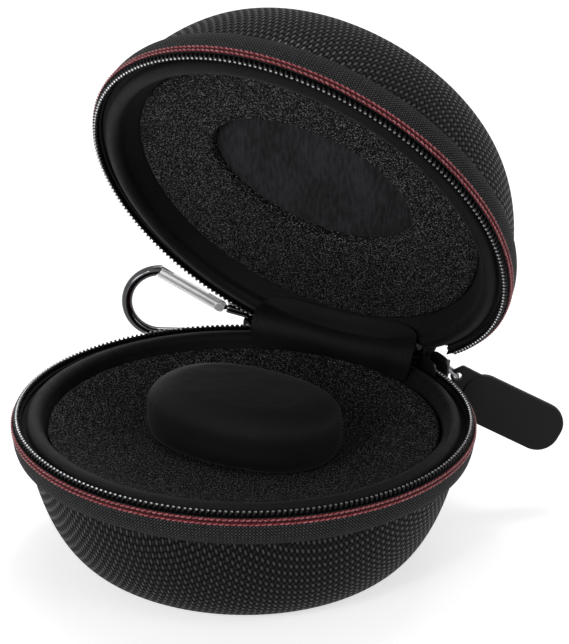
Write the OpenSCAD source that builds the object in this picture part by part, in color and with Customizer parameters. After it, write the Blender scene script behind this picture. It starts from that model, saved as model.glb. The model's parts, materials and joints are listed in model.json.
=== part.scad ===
// Round zipped travel case for a wristwatch: two moulded bowls hinged at the back.
// The origin is the centre of the flat foot. +Z is up, +Y is the hinge side, +X is the slider side.
// Heights inside one half are measured from the rim plane, into the half. The lid is drawn shut
// and then turned open about the hinge line.

/* [Case] */
// Diameter of the circle that the zip teeth stand on
ring_d = 116; // [104:1:130]
// Depth of the base from its rim plane to its foot
base_depth = 40; // [36:1:48]
// Depth of the lid from its rim plane to its crown
lid_depth = 36; // [33:1:44]
// How far in front of the back teeth the hinge line lies
hinge_inset = 5.5; // [4.5:0.25:6.5]
// How far the lid stands open
lid_open = 57; // [40:1:80]
// How far the lid can open in all
lid_travel = 95; // [88:1:100]
// Arc at the back that has no zip
hinge_arc = 57; // [56:1:68]

/* [Walls] */
// Thickness of the woven outer cover
cover_t = 0.9; // [0.6:0.1:1.4]
// Thickness of the base's moulded foam shell
shell_t = 3.2; // [2.4:0.1:4]
// Thickness of the lid's moulded foam shell
lid_shell_t = 6; // [5.4:0.1:6.4]
// Thickness of the smooth lining
lining_t = 0.7; // [0.5:0.1:1.2]
// Glue line between two layers
glue_gap = 0.1; // [0.05:0.05:0.2]

/* [Bowls] */
// Step in from the teeth to the side of the base
base_step = 2.8; // [2.2:0.1:3.6]
// Step in from the teeth to the side of the lid
lid_step = 1.8; // [1.5:0.1:2.6]
// Diameter of the flat foot
foot_d = 40; // [30:1:50]
// Diameter of the flat crown of the lid
crown_d = 52; // [40:1:58]

/* [Rim] */
// Height of the plain woven band, from the rim plane
band_h = 9.9; // [8.5:0.1:11]
// How far the band bulges out past the teeth
band_bulge = 1.1; // [0.6:0.1:1.3]
// Width of the padded lip inside the teeth
lip_w = 4.2; // [3:0.1:5]
// Gap between the padded lip and the teeth
lip_gap = 1.6; // [1.4:0.1:2]
// Distance from the rim plane to the top of the lip
lip_drop = 0.5; // [0.4:0.1:0.8]
// Width of a row of stitching thread
thread_w = 0.5; // [0.4:0.05:0.6]
// Distance from the rim plane to the first row of stitching
stitch_drop = 1.9; // [1.8:0.1:2.4]
// Distance between the two rows of stitching
stitch_gap = 1.15; // [0.8:0.05:1.3]

/* [Zip] */
// Thickness of the zip tape
tape_t = 0.3; // [0.2:0.05:0.4]
// Distance from one tooth to the next
tooth_pitch = 1.3; // [1.2:0.05:1.6]
// Width of a tooth along the zip
tooth_w = 0.75; // [0.6:0.05:0.9]
// Height of a tooth
tooth_h = 1.5; // [1.3:0.1:1.8]
// Thickness of a tooth through the tape
tooth_t = 1.6; // [1.3:0.1:1.8]
// Gap between the two rows of teeth when the case is shut
row_gap = 0.8; // [0.7:0.05:1.2]

/* [Slider] */
// Length of the slider along the zip
slider_l = 8.3; // [7.5:0.1:9]
// Height of the slider's outer plate
slider_h = 6.4; // [6.2:0.1:7]
// Thickness of the slider's plates
slider_t = 0.7; // [0.5:0.05:0.8]
// Place of the parked slider, as an angle from the middle of the back
park_angle = 29.5; // [29:0.5:36]
// Wire diameter of the link
link_d = 0.8; // [0.6:0.05:0.9]
// Diameter of the slider's upright pin
pin_d = 1.0; // [0.8:0.05:1.1]
// How far the link turns towards the front from square to the slider
link_turn = 31; // [10:1:40]
// How far the link tilts down
link_tilt = 40; // [30:1:45]

/* [Pull] */
// Length of the wide part of the pull
tab_l = 30; // [20:1:34]
// Width of the pull
tab_w = 14; // [11:0.2:15]
// Thickness of the pull
tab_t = 2.2; // [1.8:0.1:2.6]
// Corner radius of the pull
tab_r = 6; // [3:0.2:6.4]
// Length of the pull's neck, from its hole
neck_l = 2.9; // [1.2:0.1:5]
// How far the pull's middle line lies below its hole
neck_drop = 3; // [0:0.1:4]
// Thickness of the pull's neck
neck_t = 1.6; // [1.2:0.1:1.7]
// How far the pull slopes down
pull_slope = 26; // [10:1:40]

/* [Inside] */
// Distance from the rim plane to the edge of the base foam
base_foam_drop = 4; // [3.5:0.5:8]
// How far the middle of the base foam is dished below its edge
dish = 6; // [3:0.5:8]
// Distance from the rim plane to the face of the lid foam
lid_foam_drop = 7; // [6.5:0.5:10]
// Length of the oval pocket in the lid foam
pocket_l = 56; // [50:1:60]
// Width of the oval pocket in the lid foam
pocket_w = 43.5; // [38:0.5:46]
// Depth of the oval pocket in the lid foam
pocket_h = 3; // [2.5:0.5:6]
// How far the pocket's middle lies in front of the lid's middle
pocket_front = 7.2; // [0:0.2:8]
// How far the pocket's middle lies to the side of the lid's middle
pocket_side = 3.6; // [0:0.2:5]
// Turn of the pocket's long side
pocket_turn = 17; // [0:1:20]
// Thickness of the velvet panel in the pocket
panel_t = 0.8; // [0.5:0.1:1.5]
// Length of the pillow
pillow_l = 54; // [46:1:56]
// Width of the pillow
pillow_w = 37; // [30:1:40]
// Height of the pillow
pillow_h = 17.2; // [14:0.1:17.4]

/* [Clip] */
// Bar diameter of the spring clip
bar_d = 3; // [2.6:0.1:3.2]
// Radius of the clip's wide end, to the middle of its bar
wide_r = 9.4; // [8.5:0.1:11]
// Radius of the clip's narrow end, to the middle of its bar
narrow_r = 3.4; // [3.3:0.1:3.8]
// Distance between the centres of the two ends, along the spine
spine_l = 22.8; // [21:0.2:28]
// Diameter of the gate
gate_d = 3.4; // [3:0.1:3.6]
// Diameter of the gate's rivet
rivet_d = 1.6; // [1.2:0.1:1.8]
// Height of the ribbon that holds the clip
ribbon_h = 2.4; // [1.8:0.1:2.5]
// Thickness of the ribbon that holds the clip
ribbon_t = 0.8; // [0.5:0.05:0.8]
// How far the clip stands off the teeth
clip_off = 8.7; // [8:0.1:10]
// Direction that the clip's flat side faces, as an angle from the front
clip_face = 29.6; // [25:0.2:34]

/* [Hidden] */
$fn = 64;

ring_r = ring_d / 2;
rim_z = base_depth;
hinge_y = ring_r - hinge_inset;
zip_half = hinge_arc / 2;
zip_turn = 360 - hinge_arc;
tiny = 0.05;

// Side profile of a bowl, from the top of its side to the middle of its flat
base_bowl_r = ring_r - base_step;
lid_bowl_r = ring_r - lid_step;
skirt = band_h - 0.6;
tuck = band_h - 2.4;
bowl_steps = 16;
base_side_power = 4.3;
base_floor_power = 1.22;
lid_side_power = 3.3;
lid_floor_power = 1.2;

function bowl_line(side_r, flat_r, depth, side_power, floor_power) =
    concat([[side_r, -tuck]],
           [for (i = [0:bowl_steps])
               let (u = 90 * i / bowl_steps)
               [flat_r + (side_r - flat_r) * pow(max(cos(u), 0), 2 / side_power),
                -skirt - (depth - skirt) * pow(sin(u), 2 / floor_power)]],
           [[0, -depth]]);

function inward(line, t) =
    [for (i = [0:len(line) - 1])
        let (a = line[max(i - 1, 0)],
             b = line[min(i + 1, len(line) - 1)],
             d = (b - a) / norm(b - a))
        [max(line[i][0] + t * d[1], 0), line[i][1] - t * d[0]]];

function backwards(line) = [for (i = [len(line) - 1:-1:0]) line[i]];

base_line = bowl_line(base_bowl_r, foot_d / 2, base_depth, base_side_power, base_floor_power);
lid_line = bowl_line(lid_bowl_r, crown_d / 2, lid_depth, lid_side_power, lid_floor_power);

// Distances of the layers from the outer face, for a shell of thickness t
shell_out = cover_t + glue_gap;
function lining_out(t) = shell_out + t + glue_gap;
function lining_in(t) = lining_out(t) + lining_t;
function foam_out(t) = lining_in(t) + glue_gap;

// Radii of the rim, from the outside in
band_out = ring_r + band_bulge;
tooth_out = ring_r + tooth_t / 2;
tooth_in = ring_r - tooth_t / 2;
lip_out = tooth_in - lip_gap;
lip_in = lip_out - lip_w;
lip_mid = (lip_out + lip_in) / 2;
lip_root = 2.6;
lid_wall_r = lid_bowl_r - lining_in(lid_shell_t);
lid_lean = (lip_in - lid_wall_r) / (tuck - lip_root);
tape_in = ring_r - tape_t / 2;
tape_top = row_gap / 2 + 0.5;
tape_root = 5.4;
tooth_top = row_gap / 2;
tooth_root = tooth_top + tooth_h;
// The band's cloth stands up past the roots of the teeth, close outside them
band_root = tooth_root + 0.15;
band_top = tooth_root - 0.25;
band_in = ring_r - 1.1;
thread_t = 0.3;
stitch_out = band_out + tiny + thread_t;

// Room behind the hinge line, so that the two rims can swing past each other
notch_half = lid_travel / 2 + 1.5;

// Slider: two curved plates, one on each side of the teeth
plate_in = band_out + 0.9;
plate_out = plate_in + slider_t;
inner_out = tooth_in - 0.4;
inner_in = inner_out - slider_t * 0.85;
inner_h = 5.2;
slider_half = slider_l / ring_r * 90 / PI;
fin_l = slider_l * 0.3;
fin_t = row_gap / 2;
park_reach = slider_l + 1.2;
link_half = neck_t / 2 + 0.25 + link_d / 2;
hole_r = link_d / 2 + 0.75;
neck_end = hole_r + 0.85;
// The link's two ends keep clear of the pin along the level, so they lie further out along the slope
level_back = pin_d / 2 + 0.15 + link_d / 2;
level_front = pin_d / 2 + 0.25 + neck_end;
link_back = level_back / cos(link_tilt);
link_front = level_front / cos(link_tilt);
pin_r = plate_out + norm([level_back, link_half]) + link_d / 2 + 0.15;
link_z = -1.4;
lug_w = pin_d + 0.2;
lug_t = 0.7;
lug_top = 0.8;
lug_low = -slider_h / 2 + 0.1;

// Spring clip: centres and joints in its own plane, x along the spine and y up
narrow_at = [spine_l, narrow_r - wide_r];
gate_pivot = [spine_l - 6.3, narrow_r - wide_r + narrow_r + 1.9];
gate_nose = [-0.3, wide_r - 0.2];
gate_run = gate_nose - gate_pivot;
gate_l = norm(gate_run);
gate_turn = atan2(gate_run[1], gate_run[0]);
// The tail leaves the narrow end along its tangent and ends in the gate's tongue
pivot_off = gate_pivot - narrow_at;
tail_angle = atan2(pivot_off[1], pivot_off[0]) - acos(narrow_r / norm(pivot_off));
tail_from = narrow_at + narrow_r * [cos(tail_angle), sin(tail_angle)];
tail_run = gate_pivot - tail_from;
tail_end = tail_from + tail_run * (1 - 2.5 / norm(tail_run));
tail_d = bar_d - 0.24;
tail_root = 0.8;
tongue_t = 1.3;
slot_w = tongue_t + 0.3;
nose_slot = 2.4;
nose_gap = 0.3;
nose_l = 1.4;
gate_reach = norm([0, wide_r] - gate_pivot);
tongue_l = 1.7;
ribbon_hole = bar_d / 2 + 0.45;
clip_r = ring_r + clip_off;
clip_bearing = -clip_face + 0.8;
ribbon_z = rim_z - 3.3;

// ---------- shared helpers ----------

// Turns what is drawn at the back to a place round the case, clockwise from above
module at_bearing(angle) rotate([0, 0, -angle]) children();

// Turns a shut lid open
module opened(angle = lid_open)
    translate([0, hinge_y, rim_z]) rotate([-angle, 0, 0]) translate([0, -hinge_y, -rim_z]) children();

module base_half() translate([0, 0, rim_z]) children();
module lid_half() opened() translate([0, 0, rim_z]) mirror([0, 0, 1]) children();

// Wedge behind the hinge line that both rims leave free
module hinge_notch()
    translate([0, hinge_y, 0]) rotate([90, 0, 90])
        linear_extrude(ring_d, center = true)
            polygon([[0, 0], [ring_r * cos(notch_half), -ring_r * sin(notch_half)],
                     [ring_r, 0], [ring_r * cos(notch_half), ring_r * sin(notch_half)]]);

// Round hollow about the hinge line that the parked slider stands in when the lid swings
module slider_hollow()
    translate([ring_r * sin(park_angle) - park_reach / 2, hinge_y, 0]) rotate([0, 90, 0])
        cylinder(h = park_reach + 2, r = slider_h / 2 + 3);

module zip_arc(trim = 0)
    rotate([0, 0, 90 + zip_half + trim]) rotate_extrude(angle = zip_turn - 2 * trim, $fn = 180) children();

// ---------- layers that both halves share ----------

module cover_profile(line)
    polygon(concat(line, backwards(inward(line, cover_t))));

module shell_profile(line, t)
    polygon(concat([[lip_mid, -lip_root - 0.2], [band_in - 0.2, -lip_root - 0.2], [band_in - 0.2, -tuck + 1.6]],
                   inward(line, shell_out), backwards(inward(line, shell_out + t)),
                   [[lip_in + lining_t + 0.2, -lip_root - 0.2]]));

module lining_profile(line, t) {
    lip_steps = 14;
    polygon(concat([for (i = [0:lip_steps])
                       let (u = 180 * i / lip_steps)
                       [lip_mid + lip_w / 2 * cos(u), -lip_root + (lip_root - lip_drop) * sin(u)]],
                   inward(line, lining_in(t)),
                   backwards(inward(line, lining_out(t))),
                   [[lip_in + lining_t, -lip_root]]));
}

module band_profile(bowl_r) {
    difference() {
        polygon([[tooth_out + 0.08, -band_top], [band_out - 0.05, -band_top - 0.25], [band_out, -band_top - 1],
                 [band_out, -band_top - 3.1], [band_out - 0.2, -band_h * 0.66], [band_out - 0.8, -band_h * 0.85],
                 [bowl_r + 1.3, -band_h], [bowl_r + 0.25, -band_h], [bowl_r + 0.25, -tuck + 0.5],
                 [band_in, -tuck + 1.8], [band_in, -band_root], [tooth_out + 0.08, -band_root]]);
        translate([tape_in - tiny, -tape_root - tiny]) square([tape_t + 2 * tiny, tape_root]);
    }
}

module tape_profile()
    translate([tape_in, -tape_root]) square([tape_t, tape_root - tape_top]);

module teeth(first, last) {
    count = floor((last - first) / 180 * PI * ring_r / tooth_pitch);
    step = (last - first) / count;
    for (i = [0:count - 1])
        at_bearing(first + (i + 0.5) * step) translate([-tooth_w / 2, ring_r, 0]) rotate([90, 0, 90])
            linear_extrude(tooth_w)
                polygon([[-tooth_t / 2, -tooth_root], [-tape_t / 2 - tiny, -tooth_root],
                         [-tape_t / 2 - tiny, -tape_top + tiny], [tape_t / 2 + tiny, -tape_top + tiny],
                         [tape_t / 2 + tiny, -tooth_root], [tooth_t / 2, -tooth_root],
                         [tooth_t / 2, -tooth_top - 0.3], [tooth_t / 2 - 0.4, -tooth_top],
                         [-tooth_t / 2 + 0.4, -tooth_top], [-tooth_t / 2, -tooth_top - 0.3]]);
}

module stitching()
    for (row = [0, 1])
        zip_arc(0.5) translate([band_out + tiny, -stitch_drop - row * stitch_gap])
            square([thread_t, thread_w]);

// ---------- base ----------

module base_cover() color([0.09, 0.09, 0.1])
    base_half() difference() {
        rotate_extrude($fn = 120) cover_profile(base_line);
        hinge_notch();
    }

module base_shell() color([0.2, 0.2, 0.2])
    base_half() difference() {
        rotate_extrude($fn = 120) shell_profile(base_line, shell_t);
        hinge_notch();
    }

module base_lining() color([0.05, 0.05, 0.05])
    base_half() difference() {
        rotate_extrude($fn = 120) lining_profile(base_line, shell_t);
        hinge_notch();
    }

module base_rim_band() color([0.12, 0.12, 0.13])
    base_half() difference() {
        rotate_extrude($fn = 120) band_profile(base_bowl_r);
        hinge_notch();
    }

module base_zip_tape() color([0.1, 0.1, 0.1]) base_half() zip_arc() tape_profile();

module base_zip_teeth() color([0.25, 0.25, 0.27]) base_half() teeth(zip_half, 360 - zip_half);

module base_stitching() color([0.5, 0.06, 0.1]) base_half() stitching();

module base_foam() color([0.13, 0.13, 0.13])
    base_half() rotate_extrude($fn = 120) {
        edge = inward(base_line, foam_out(shell_t));
        edge_r = edge[0][0];
        dish_r = pillow_l / 2 + 2;
        polygon(concat([[0, -base_foam_drop - dish], [dish_r, -base_foam_drop - dish],
                        [(dish_r + edge_r) / 2 + 3, -base_foam_drop - dish * 0.62],
                        [edge_r - 2, -base_foam_drop - 0.6], [edge_r - 0.6, -base_foam_drop]],
                       [for (p = edge) if (p[1] < -base_foam_drop - 1) p]));
    }

// ---------- lid ----------

module lid_cover() color([0.09, 0.09, 0.1])
    lid_half() difference() {
        rotate_extrude($fn = 120) cover_profile(lid_line);
        hinge_notch();
    }

module lid_shell() color([0.2, 0.2, 0.2])
    lid_half() difference() {
        rotate_extrude($fn = 120) shell_profile(lid_line, lid_shell_t);
        hinge_notch();
        slider_hollow();
    }

module lid_lining() color([0.05, 0.05, 0.05])
    lid_half() difference() {
        rotate_extrude($fn = 120) lining_profile(lid_line, lid_shell_t);
        hinge_notch();
        slider_hollow();
    }

module lid_rim_band() color([0.12, 0.12, 0.13])
    lid_half() difference() {
        rotate_extrude($fn = 120) band_profile(lid_bowl_r);
        hinge_notch();
        slider_hollow();
    }

module lid_zip_tape() color([0.1, 0.1, 0.1])
    lid_half() difference() {
        zip_arc() tape_profile();
        slider_hollow();
    }

module lid_zip_teeth() color([0.25, 0.25, 0.27])
    lid_half() teeth(acos((hinge_y - slider_h / 2 - 3.6) / ring_r), 360 - zip_half);

module lid_stitching() color([0.5, 0.06, 0.1])
    lid_half() difference() {
        stitching();
        slider_hollow();
    }

module lid_foam() color([0.16, 0.16, 0.16])
    lid_half() difference() {
        rotate_extrude($fn = 120)
            polygon(concat([[0, -lid_foam_drop], [lid_wall_r - 0.8, -lid_foam_drop]],
                           [for (p = inward(lid_line, foam_out(lid_shell_t))) if (p[1] < -lid_foam_drop - 0.6) p]));
        at_pocket() linear_extrude(pocket_h + 1) oval(pocket_l, pocket_w);
    }

module lid_pocket_panel() color([0.1, 0.1, 0.1])
    lid_half() at_pocket() translate([0, 0, glue_gap]) linear_extrude(panel_t) oval(pocket_l - 0.4, pocket_w - 0.4);

// The floor of the oval pocket
module at_pocket()
    translate([pocket_side, -pocket_front, -lid_foam_drop - pocket_h]) rotate([0, 0, pocket_turn]) children();

// Oval outline, as points by a formula
module oval(length, width)
    polygon([for (i = [0:71]) [length / 2 * cos(i * 5), width / 2 * sin(i * 5)]]);

// ---------- hinge cloth ----------

// A point of the shut case's back wall, turned open by its share of the lid's swing
function folded(r, bearing, h, share) =
    let (y = r * cos(bearing) - hinge_y, a = -share * lid_open)
    [r * sin(bearing), hinge_y + y * cos(a) - h * sin(a), rim_z + y * sin(a) + h * cos(a)];

function smooth(t) = let (u = min(max(t, 0), 1)) u * u * (3 - 2 * u);

// Cloth between two faces, each a grid of points with the same count
module cloth(front, back) {
    rows = len(front);
    cols = len(front[0]);
    points = concat([for (row = front) each row], [for (row = back) each row]);
    half = rows * cols;
    function at(i, j, side) = side * half + i * cols + j;
    faces = concat(
        [for (i = [0:rows - 2], j = [0:cols - 2]) each
            [[at(i, j, 0), at(i + 1, j, 0), at(i + 1, j + 1, 0)],
             [at(i, j, 0), at(i + 1, j + 1, 0), at(i, j + 1, 0)],
             [at(i, j, 1), at(i + 1, j + 1, 1), at(i + 1, j, 1)],
             [at(i, j, 1), at(i, j + 1, 1), at(i + 1, j + 1, 1)]]],
        [for (i = [0:rows - 2]) each
            [[at(i, 0, 0), at(i, 0, 1), at(i + 1, 0, 1)], [at(i, 0, 0), at(i + 1, 0, 1), at(i + 1, 0, 0)],
             [at(i, cols - 1, 0), at(i + 1, cols - 1, 1), at(i, cols - 1, 1)],
             [at(i, cols - 1, 0), at(i + 1, cols - 1, 0), at(i + 1, cols - 1, 1)]]],
        [for (j = [0:cols - 2]) each
            [[at(0, j, 0), at(0, j + 1, 1), at(0, j, 1)], [at(0, j, 0), at(0, j + 1, 0), at(0, j + 1, 1)],
             [at(rows - 1, j, 0), at(rows - 1, j, 1), at(rows - 1, j + 1, 1)],
             [at(rows - 1, j, 0), at(rows - 1, j + 1, 1), at(rows - 1, j + 1, 0)]]]);
    polyhedron(points, faces);
}

cloth_rows = 18;
cloth_cols = 16;
tape_half_arc = 25;
lining_half_arc = 29;
cloth_t = 0.6;
cloth_gap = 0.4;
tape_slack = 1.6;
flap_half = 6.5;
flap_bend = 4;
flap_gap = 0.9;

// Height over which the outer tape bends: it narrows with the notch towards the ends
function bend_half(bearing) =
    max((band_out * cos(bearing) - hinge_y) * tan(notch_half) * 0.9, 0.8);

function tape_face(r) =
    [for (i = [0:cloth_rows])
        let (along = 2 * i / cloth_rows - 1, bearing = tape_half_arc * along, reach = bend_half(bearing))
        [for (j = [0:cloth_cols])
            let (h = (band_h - 0.3) * (2 * j / cloth_cols - 1),
                 slack = tape_slack * (1 - along * along) * pow(max(1 - abs(h) / band_h, 0), 2))
            folded(r - slack, bearing, h, smooth((h + reach) / (2 * reach)))]];

// The flap lies against the lining: upright in the base, and leaning in with the lid's thicker wall
function lining_face(r) =
    [for (i = [0:cloth_rows])
        let (bearing = lining_half_arc * (2 * i / cloth_rows - 1))
        [for (j = [0:cloth_cols])
            let (h = flap_half * (2 * j / cloth_cols - 1), lean = lid_lean * max(h - lip_root + 1, 0))
            folded(r - lean, bearing, h, smooth((h + flap_bend) / (2 * flap_bend)))]];

module hinge_tape() color([0.12, 0.12, 0.13])
    cloth(tape_face(band_out + cloth_gap), tape_face(band_out + cloth_gap + cloth_t));

module hinge_lining() color([0.05, 0.05, 0.05])
    cloth(lining_face(lip_in - flap_gap - cloth_t), lining_face(lip_in - flap_gap));

// ---------- slider and pull ----------

module sector(r_in, r_out, low, high, half_angle)
    rotate([0, 0, 90 - half_angle]) rotate_extrude(angle = 2 * half_angle, $fn = 180)
        translate([r_in, low]) square([r_out - r_in, high - low]);

module zip_slider() color([0.12, 0.12, 0.12])
    base_half() at_bearing(park_angle) {
        sector(plate_in, plate_out, -slider_h / 2, slider_h / 2, slider_half);
        sector(inner_in, inner_out, -inner_h / 2, inner_h / 2, slider_half);
        rotate([0, 0, -slider_half * 0.6]) translate([-fin_l / 2, inner_in + 0.2, -fin_t / 2])
            cube([fin_l, plate_out - inner_in - 0.4, fin_t]);
        for (low = [lug_low, lug_top - lug_t])
            translate([0, pin_r, low]) linear_extrude(lug_t) {
                circle(d = lug_w, $fn = 32);
                translate([-lug_w / 2, plate_out - pin_r - 0.3]) square([lug_w, pin_r - plate_out + 0.3]);
            }
        translate([0, pin_r, lug_low + lug_t / 2]) cylinder(h = lug_top - lug_low - lug_t, d = pin_d, $fn = 24);
    }

// Frame of the link: at the slider's pin, x out along the link, y across it
module link_frame()
    base_half() at_bearing(park_angle) translate([0, pin_r, link_z]) rotate([0, 0, 90 - link_turn])
        rotate([0, link_tilt, 0]) children();

module slider_link() color([0.55, 0.55, 0.57])
    link_frame() {
        for (side = [-1, 1])
            translate([-link_back, side * link_half, 0]) rotate([0, 90, 0])
                cylinder(h = link_back + link_front, d = link_d, $fn = 20);
        for (x = [-link_back, link_front]) {
            translate([x, -link_half, 0]) rotate([-90, 0, 0]) cylinder(h = 2 * link_half, d = link_d, $fn = 20);
            for (side = [-1, 1]) translate([x, side * link_half, 0]) sphere(d = link_d, $fn = 20);
        }
    }

// Outline of the pull's wide part, from its inner end along x
module tab_outline() {
    core_w = tab_w - 2 * tab_r;
    translate([tab_r, -tab_w / 2]) square([tab_l - 2 * tab_r, tab_w]);
    translate([0, -core_w / 2]) square([tab_l, core_w]);
    for (x = [tab_r, tab_l - tab_r], y = [-core_w / 2, core_w / 2]) translate([x, y]) circle(r = tab_r, $fn = 48);
}

// Outline of the neck, round its hole: it spreads into the end of the wide part
module neck_outline() {
    reach = neck_l + tab_r * 0.7;
    low = -neck_drop - tab_w * 0.33;
    high = -neck_drop + tab_w / 2 - 0.9;
    circle(r = neck_end, $fn = 32);
    polygon([[-neck_end * 0.55, -neck_end * 0.83], [reach, low], [reach, high],
             [-neck_end * 0.1, high + 0.2], [-neck_end * 0.75, neck_end * 0.66]]);
}

module zip_pull() color([0.08, 0.08, 0.08])
    link_frame() translate([link_front, 0, 0]) rotate([0, pull_slope - link_tilt, 0]) rotate([90, 0, 0]) {
        difference() {
            union() {
                translate([neck_l, -neck_drop, -tab_t / 2]) linear_extrude(tab_t) tab_outline();
                translate([0, 0, -neck_t / 2]) linear_extrude(neck_t) neck_outline();
            }
            cylinder(h = tab_t + 2, r = hole_r, center = true, $fn = 32);
        }
    }

module zip_stops() color([0.5, 0.5, 0.52])
    base_half() for (bearing = [zip_half - 1.1, 360 - zip_half + 1.1])
        at_bearing(bearing) translate([-0.6, ring_r, 0]) rotate([90, 0, 90]) linear_extrude(1.2)
            polygon([[-tooth_t / 2, -tooth_root], [-tape_t / 2 - tiny, -tooth_root],
                     [-tape_t / 2 - tiny, -tape_top + tiny], [tape_t / 2 + tiny, -tape_top + tiny],
                     [tape_t / 2 + tiny, -tooth_root], [tooth_t / 2, -tooth_root],
                     [tooth_t / 2, -tooth_top], [-tooth_t / 2, -tooth_top]]);

// ---------- pillow ----------

pillow_rings = 12;
pillow_sides = 40;

// Outline of the pillow at one height share: crowned on top, drawn in at the bottom edge
function pillow_size(t) =
    t < 0.25 ? 0.94 + 0.06 * sin(90 * t / 0.25)
             : t < 0.6 ? 1 : sqrt(max(1 - pow((t - 0.6) / 0.415, 2), 0)) * 0.42 + 0.58;

module watch_pillow() color([0.07, 0.07, 0.07])
    translate([0, 0, rim_z - base_foam_drop - dish + 0.3]) {
        ring = [for (k = [0:pillow_sides - 1]) let (a = 360 * k / pillow_sides)
                   [pow(abs(cos(a)), 0.86) * sign(cos(a)) * pillow_l / 2,
                    pow(abs(sin(a)), 0.86) * sign(sin(a)) * pillow_w / 2]];
        crown = 1.2;
        points = concat(
            [for (i = [0:pillow_rings])
                let (t = i / pillow_rings, s = pillow_size(t), z = (pillow_h - crown) * t)
                each [for (p = ring) [p[0] * s, p[1] * (1 - (1 - s) * 1.15), z]]],
            [[0, 0, 0], [0, 0, pillow_h]]);
        low = (pillow_rings + 1) * pillow_sides;
        faces = concat(
            [for (i = [0:pillow_rings - 1], k = [0:pillow_sides - 1])
                let (a = i * pillow_sides + k, b = i * pillow_sides + (k + 1) % pillow_sides)
                each [[a, a + pillow_sides, b + pillow_sides], [a, b + pillow_sides, b]]],
            [for (k = [0:pillow_sides - 1]) [low, k, (k + 1) % pillow_sides]],
            [for (k = [0:pillow_sides - 1])
                let (a = pillow_rings * pillow_sides)
                [low + 1, a + (k + 1) % pillow_sides, a + k]]);
        polyhedron(points, faces);
    }

// ---------- spring clip ----------

// Frame of the clip: x along the spine towards the ribbon, y up, z towards the viewer's side
module clip_frame()
    at_bearing(clip_bearing) translate([0, clip_r, ribbon_z]) rotate([0, 0, clip_bearing])
        rotate([0, 0, clip_face]) rotate([90, 0, 0])
            translate([-(spine_l + narrow_r), wide_r - narrow_r, 0]) children();

module bend(r, from, to, d = bar_d)
    rotate([0, 0, from]) rotate_extrude(angle = to - from, $fn = 96) translate([r, 0]) circle(d = d, $fn = 32);

module bar(a, b, d = bar_d)
    translate([a[0], a[1], 0]) rotate([0, 0, atan2(b[1] - a[1], b[0] - a[0])]) rotate([0, 90, 0])
        cylinder(h = norm(b - a), d = d, $fn = 32);

module clip_body() color([0.8, 0.8, 0.82])
    clip_frame() {
        difference() {
            union() {
                bend(wide_r, 90, 270);
                bar([0, wide_r], [nose_l, wide_r]);
            }
            intersection() {
                gate_sweep(gate_reach + nose_gap);
                translate([-wide_r, 0, -bar_d]) cube([2 * wide_r, 2 * wide_r, 2 * bar_d]);
            }
        }
        bar([0, -wide_r], [spine_l, -wide_r]);
        translate([narrow_at[0], narrow_at[1], 0]) bend(narrow_r, -90, tail_angle);
        difference() {
            union() {
                bar(tail_from - tail_run / norm(tail_run) * tail_root, tail_end, tail_d);
                translate([gate_pivot[0], gate_pivot[1], 0]) {
                    cylinder(h = tongue_t, r = 1.35, center = true, $fn = 32);
                    rotate([0, 0, atan2(-tail_run[1], -tail_run[0])])
                        translate([0, -1.1, -tongue_t / 2]) cube([3.2, 2.2, tongue_t]);
                }
            }
            translate([gate_pivot[0], gate_pivot[1], 0])
                cylinder(h = bar_d, d = rivet_d + 0.04, center = true, $fn = 32);
        }
        nose_tongue();
    }

module nose_tongue()
    translate([0, wide_r, 0]) rotate([0, 0, gate_turn + 180])
        translate([-0.9, -0.9, -tongue_t / 2]) cube([tongue_l + 0.9, 1.6, tongue_t]);

// Disc about the gate's rivet; the gate's free end and the bar's end are cut to it, so that they swing clear
module gate_sweep(r)
    translate([gate_pivot[0], gate_pivot[1], 0]) cylinder(h = 4 * bar_d, r = r, center = true, $fn = 128);

module clip_gate() color([0.85, 0.85, 0.87])
    clip_frame() intersection() {
        translate([gate_pivot[0], gate_pivot[1], 0]) rotate([0, 0, gate_turn]) difference() {
            translate([-gate_d / 2, 0, 0]) rotate([0, 90, 0])
                cylinder(h = gate_l + gate_d, d = gate_d, $fn = 32);
            translate([-gate_d, -gate_d, -slot_w / 2]) cube([gate_d + 4.2, 2 * gate_d, slot_w]);
            translate([gate_l - 1.5 - nose_slot, -gate_d, -slot_w / 2])
                cube([nose_slot + gate_d + 2, 2 * gate_d, slot_w]);
            translate([4, 0, 0]) rotate([0, 90, 0]) cylinder(h = 7.5, d = 1.5, $fn = 24);
            cylinder(h = 2 * gate_d, d = rivet_d + 0.1, center = true, $fn = 32);
        }
        gate_sweep(gate_reach);
    }

module clip_rivet() color([0.85, 0.85, 0.87])
    clip_frame() translate([gate_pivot[0], gate_pivot[1], 0]) {
        cylinder(h = gate_d + 0.5, d = rivet_d, center = true, $fn = 32);
        for (side = [-1, 1])
            translate([0, 0, side * (gate_d / 2 + 0.2) - 0.15]) cylinder(h = 0.3, d = rivet_d + 0.6, $fn = 32);
    }

module clip_spring() color([0.6, 0.6, 0.6])
    clip_frame() translate([gate_pivot[0], gate_pivot[1], 0]) rotate([0, 0, gate_turn])
        translate([4.6, 0, 0]) rotate([0, 90, 0]) cylinder(h = 6.5, d = 1.3, $fn = 20);

// Ribbon eye round the clip's narrow end, with its tail against the rim band's stitching
module clip_ribbon() color([0.1, 0.1, 0.1])
    at_bearing(clip_bearing) translate([0, clip_r, ribbon_z - ribbon_h / 2]) linear_extrude(ribbon_h)
        difference() {
            eye = ribbon_hole + ribbon_t;
            tail = clip_r - stitch_out - 0.1;
            union() {
                circle(r = eye, $fn = 48);
                polygon([[-eye, 0], [-ribbon_t, -tail], [ribbon_t, -tail], [eye, 0]]);
            }
            circle(r = ribbon_hole, $fn = 48);
        }

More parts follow.
